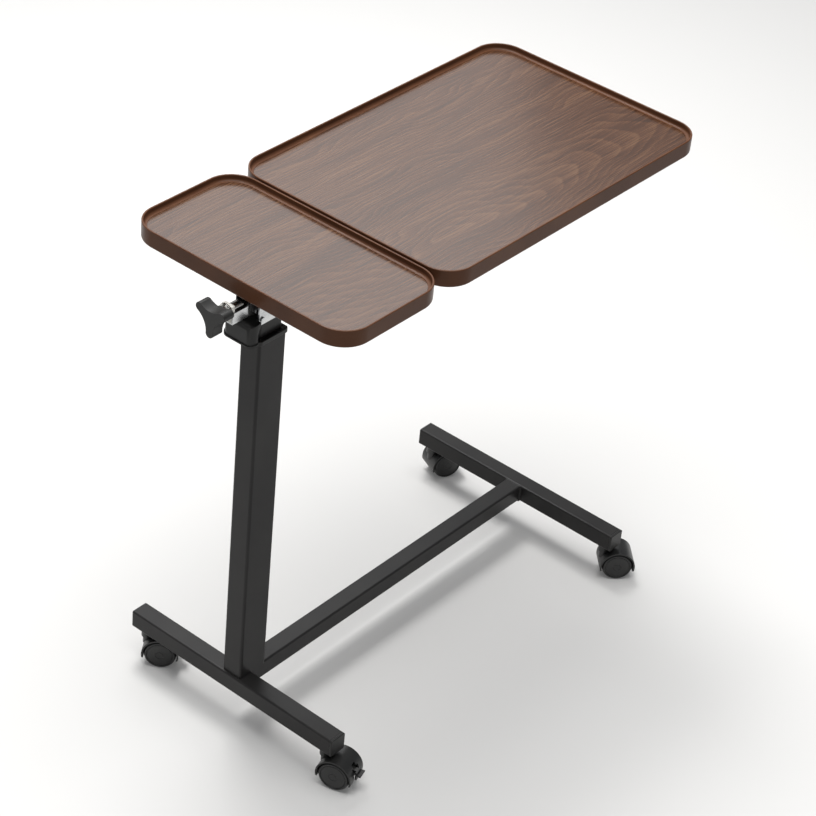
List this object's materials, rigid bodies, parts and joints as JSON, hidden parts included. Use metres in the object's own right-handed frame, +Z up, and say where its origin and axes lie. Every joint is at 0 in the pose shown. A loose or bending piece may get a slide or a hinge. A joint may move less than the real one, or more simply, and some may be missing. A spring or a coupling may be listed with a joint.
{
  "type": "overbed table",
  "caption": "Overbed table: castor base, telescopic column with release lever, small fixed tray and larger tray that tilts and locks with a knob.",
  "frame": {"origin": "on the floor, at the middle of the base's length and width", "axes": "+X along the base from the column side to the far foot, +Y across the base along the feet, +Z up"},
  "size_m": [0.8425, 0.4496, 0.806],
  "materials": {
    "black_frame": "satin black powder coat on steel tube",
    "black_plastic": "fine-textured moulded black plastic",
    "castor_black": "moulded black nylon",
    "zinc_plate": "bright zinc-plated steel",
    "bright_steel": "polished chrome plate",
    "spring_steel": "plain drawn spring wire",
    "white_acetal": "smooth natural acetal",
    "rim_bronze": "satin bronze-brown moulded rim",
    "walnut_board": "walnut foil on board, satin"
  },
  "bodies": {
    "base": {"near_foot": "black_frame", "far_foot": "black_frame", "crossbar": "black_frame", "near_foot_caps": "black_plastic", "far_foot_caps": "black_plastic", "castor_nuts": "zinc_plate", "castor_stems": "bright_steel", "column": "black_frame", "column_foot_plate": "zinc_plate", "column_bolts": "zinc_plate", "column_collar": "black_plastic", "spring_seat": "zinc_plate", "lift_rod": "bright_steel", "lift_spring": "spring_steel"},
    "mast": {"mast_tube": "black_frame", "mast_glide": "white_acetal", "lock_plates": "zinc_plate", "mast_head": "zinc_plate", "lever_pin": "bright_steel", "lever_spring": "spring_steel", "support_channel": "zinc_plate", "channel_bolts": "zinc_plate", "shaft_bushes": "white_acetal", "small_tray_brackets": "black_frame", "small_tray_board": "walnut_board", "small_tray_rim": "rim_bronze", "small_tray_screws": "zinc_plate"},
    "lever": {"height_lever": "black_plastic"},
    "push_rod": {"release_rod": "zinc_plate"},
    "tilting_top": {"tilt_shaft": "bright_steel", "tilt_nut": "bright_steel", "tilt_tube": "black_frame", "large_tray_bearers": "black_frame", "large_tray_board": "walnut_board", "large_tray_rim": "rim_bronze", "large_tray_screws": "zinc_plate"},
    "knob": {"tilt_knob": "black_plastic"},
    "near_front_castor": {"near_front_hood": "castor_black", "near_front_axle": "bright_steel"},
    "near_front_wheel_left_body": {"near_front_wheel_left": "castor_black"},
    "near_front_wheel_right_body": {"near_front_wheel_right": "castor_black"},
    "near_front_brake_lever": {"near_front_brake": "black_plastic"},
    "near_back_castor": {"near_back_hood": "castor_black", "near_back_axle": "bright_steel"},
    "near_back_wheel_left_body": {"near_back_wheel_left": "castor_black"},
    "near_back_wheel_right_body": {"near_back_wheel_right": "castor_black"},
    "near_back_brake_lever": {"near_back_brake": "black_plastic"},
    "far_front_castor": {"far_front_hood": "castor_black", "far_front_axle": "bright_steel"},
    "far_front_wheel_left_body": {"far_front_wheel_left": "castor_black"},
    "far_front_wheel_right_body": {"far_front_wheel_right": "castor_black"},
    "far_back_castor": {"far_back_hood": "castor_black", "far_back_axle": "bright_steel"},
    "far_back_wheel_left_body": {"far_back_wheel_left": "castor_black"},
    "far_back_wheel_right_body": {"far_back_wheel_right": "castor_black"}
  },
  "joints": [
    {"name": "mast_height", "type": "slide", "parent": "base", "child": "mast", "axis": [0, 0, 1], "range_m": [0, 0.35], "deforming": ["lift_spring"]},
    {"name": "lever_pull", "type": "hinge", "parent": "mast", "child": "lever", "pos_m": [-0.353, 0, 0.7332], "axis": [0, 1, 0], "range_deg": [0, 18], "stiffness_Nm_per_rad": 0.5, "springref_deg": -28.65},
    {"name": "release_push", "type": "slide", "parent": "mast", "child": "push_rod", "axis": [0, 0, -1], "range_m": [0, 0.0045]},
    {"name": "tray_tilt", "type": "hinge", "parent": "mast", "child": "tilting_top", "pos_m": [-0.18, 0, 0.758], "axis": [1, 0, 0], "range_deg": [-35, 35]},
    {"name": "knob_turn", "type": "hinge", "parent": "tilting_top", "child": "knob", "pos_m": [-0.4325, 0, 0.758], "axis": [-1, 0, 0], "range_deg": [0, 540]},
    {"name": "near_front_swivel", "type": "hinge", "parent": "base", "child": "near_front_castor", "pos_m": [-0.3405, -0.1835, 0.025], "axis": [0, 0, 1], "continuous": true},
    {"name": "near_front_roll_left", "type": "hinge", "parent": "near_front_castor", "child": "near_front_wheel_left_body", "pos_m": [-0.33444, -0.20465, 0.025], "axis": [0.9613, 0.2756, 0], "continuous": true},
    {"name": "near_front_roll_right", "type": "hinge", "parent": "near_front_castor", "child": "near_front_wheel_right_body", "pos_m": [-0.33444, -0.20465, 0.025], "axis": [0.9613, 0.2756, 0], "continuous": true},
    {"name": "near_front_brake_press", "type": "hinge", "parent": "near_front_castor", "child": "near_front_brake_lever", "pos_m": [-0.32975, -0.22099, 0.035], "axis": [0.9613, 0.2756, 0], "range_deg": [0, 12]},
    {"name": "near_back_swivel", "type": "hinge", "parent": "base", "child": "near_back_castor", "pos_m": [-0.3405, 0.1835, 0.025], "axis": [0, 0, 1], "continuous": true},
    {"name": "near_back_roll_left", "type": "hinge", "parent": "near_back_castor", "child": "near_back_wheel_left_body", "pos_m": [-0.32788, 0.16548, 0.025], "axis": [0.8192, 0.5736, 0], "continuous": true},
    {"name": "near_back_roll_right", "type": "hinge", "parent": "near_back_castor", "child": "near_back_wheel_right_body", "pos_m": [-0.32788, 0.16548, 0.025], "axis": [0.8192, 0.5736, 0], "continuous": true},
    {"name": "near_back_brake_press", "type": "hinge", "parent": "near_back_castor", "child": "near_back_brake_lever", "pos_m": [-0.31813, 0.15155, 0.035], "axis": [0.8192, 0.5736, 0], "range_deg": [0, 12]},
    {"name": "far_front_swivel", "type": "hinge", "parent": "base", "child": "far_front_castor", "pos_m": [0.3405, -0.1835, 0.025], "axis": [0, 0, 1], "continuous": true},
    {"name": "far_front_roll_left", "type": "hinge", "parent": "far_front_castor", "child": "far_front_wheel_left_body", "pos_m": [0.35606, -0.19906, 0.025], "axis": [0.7071, 0.7071, 0], "continuous": true},
    {"name": "far_front_roll_right", "type": "hinge", "parent": "far_front_castor", "child": "far_front_wheel_right_body", "pos_m": [0.35606, -0.19906, 0.025], "axis": [0.7071, 0.7071, 0], "continuous": true},
    {"name": "far_back_swivel", "type": "hinge", "parent": "base", "child": "far_back_castor", "pos_m": [0.3405, 0.1835, 0.025], "axis": [0, 0, 1], "continuous": true},
    {"name": "far_back_roll_left", "type": "hinge", "parent": "far_back_castor", "child": "far_back_wheel_left_body", "pos_m": [0.36044, 0.1742, 0.025], "axis": [0.4226, 0.9063, 0], "continuous": true},
    {"name": "far_back_roll_right", "type": "hinge", "parent": "far_back_castor", "child": "far_back_wheel_right_body", "pos_m": [0.36044, 0.1742, 0.025], "axis": [0.4226, 0.9063, 0], "continuous": true}
  ],
  "couplings": [
    {"joint": "release_push", "follows": "lever_pull", "m_per_rad": 0.014}
  ]
}
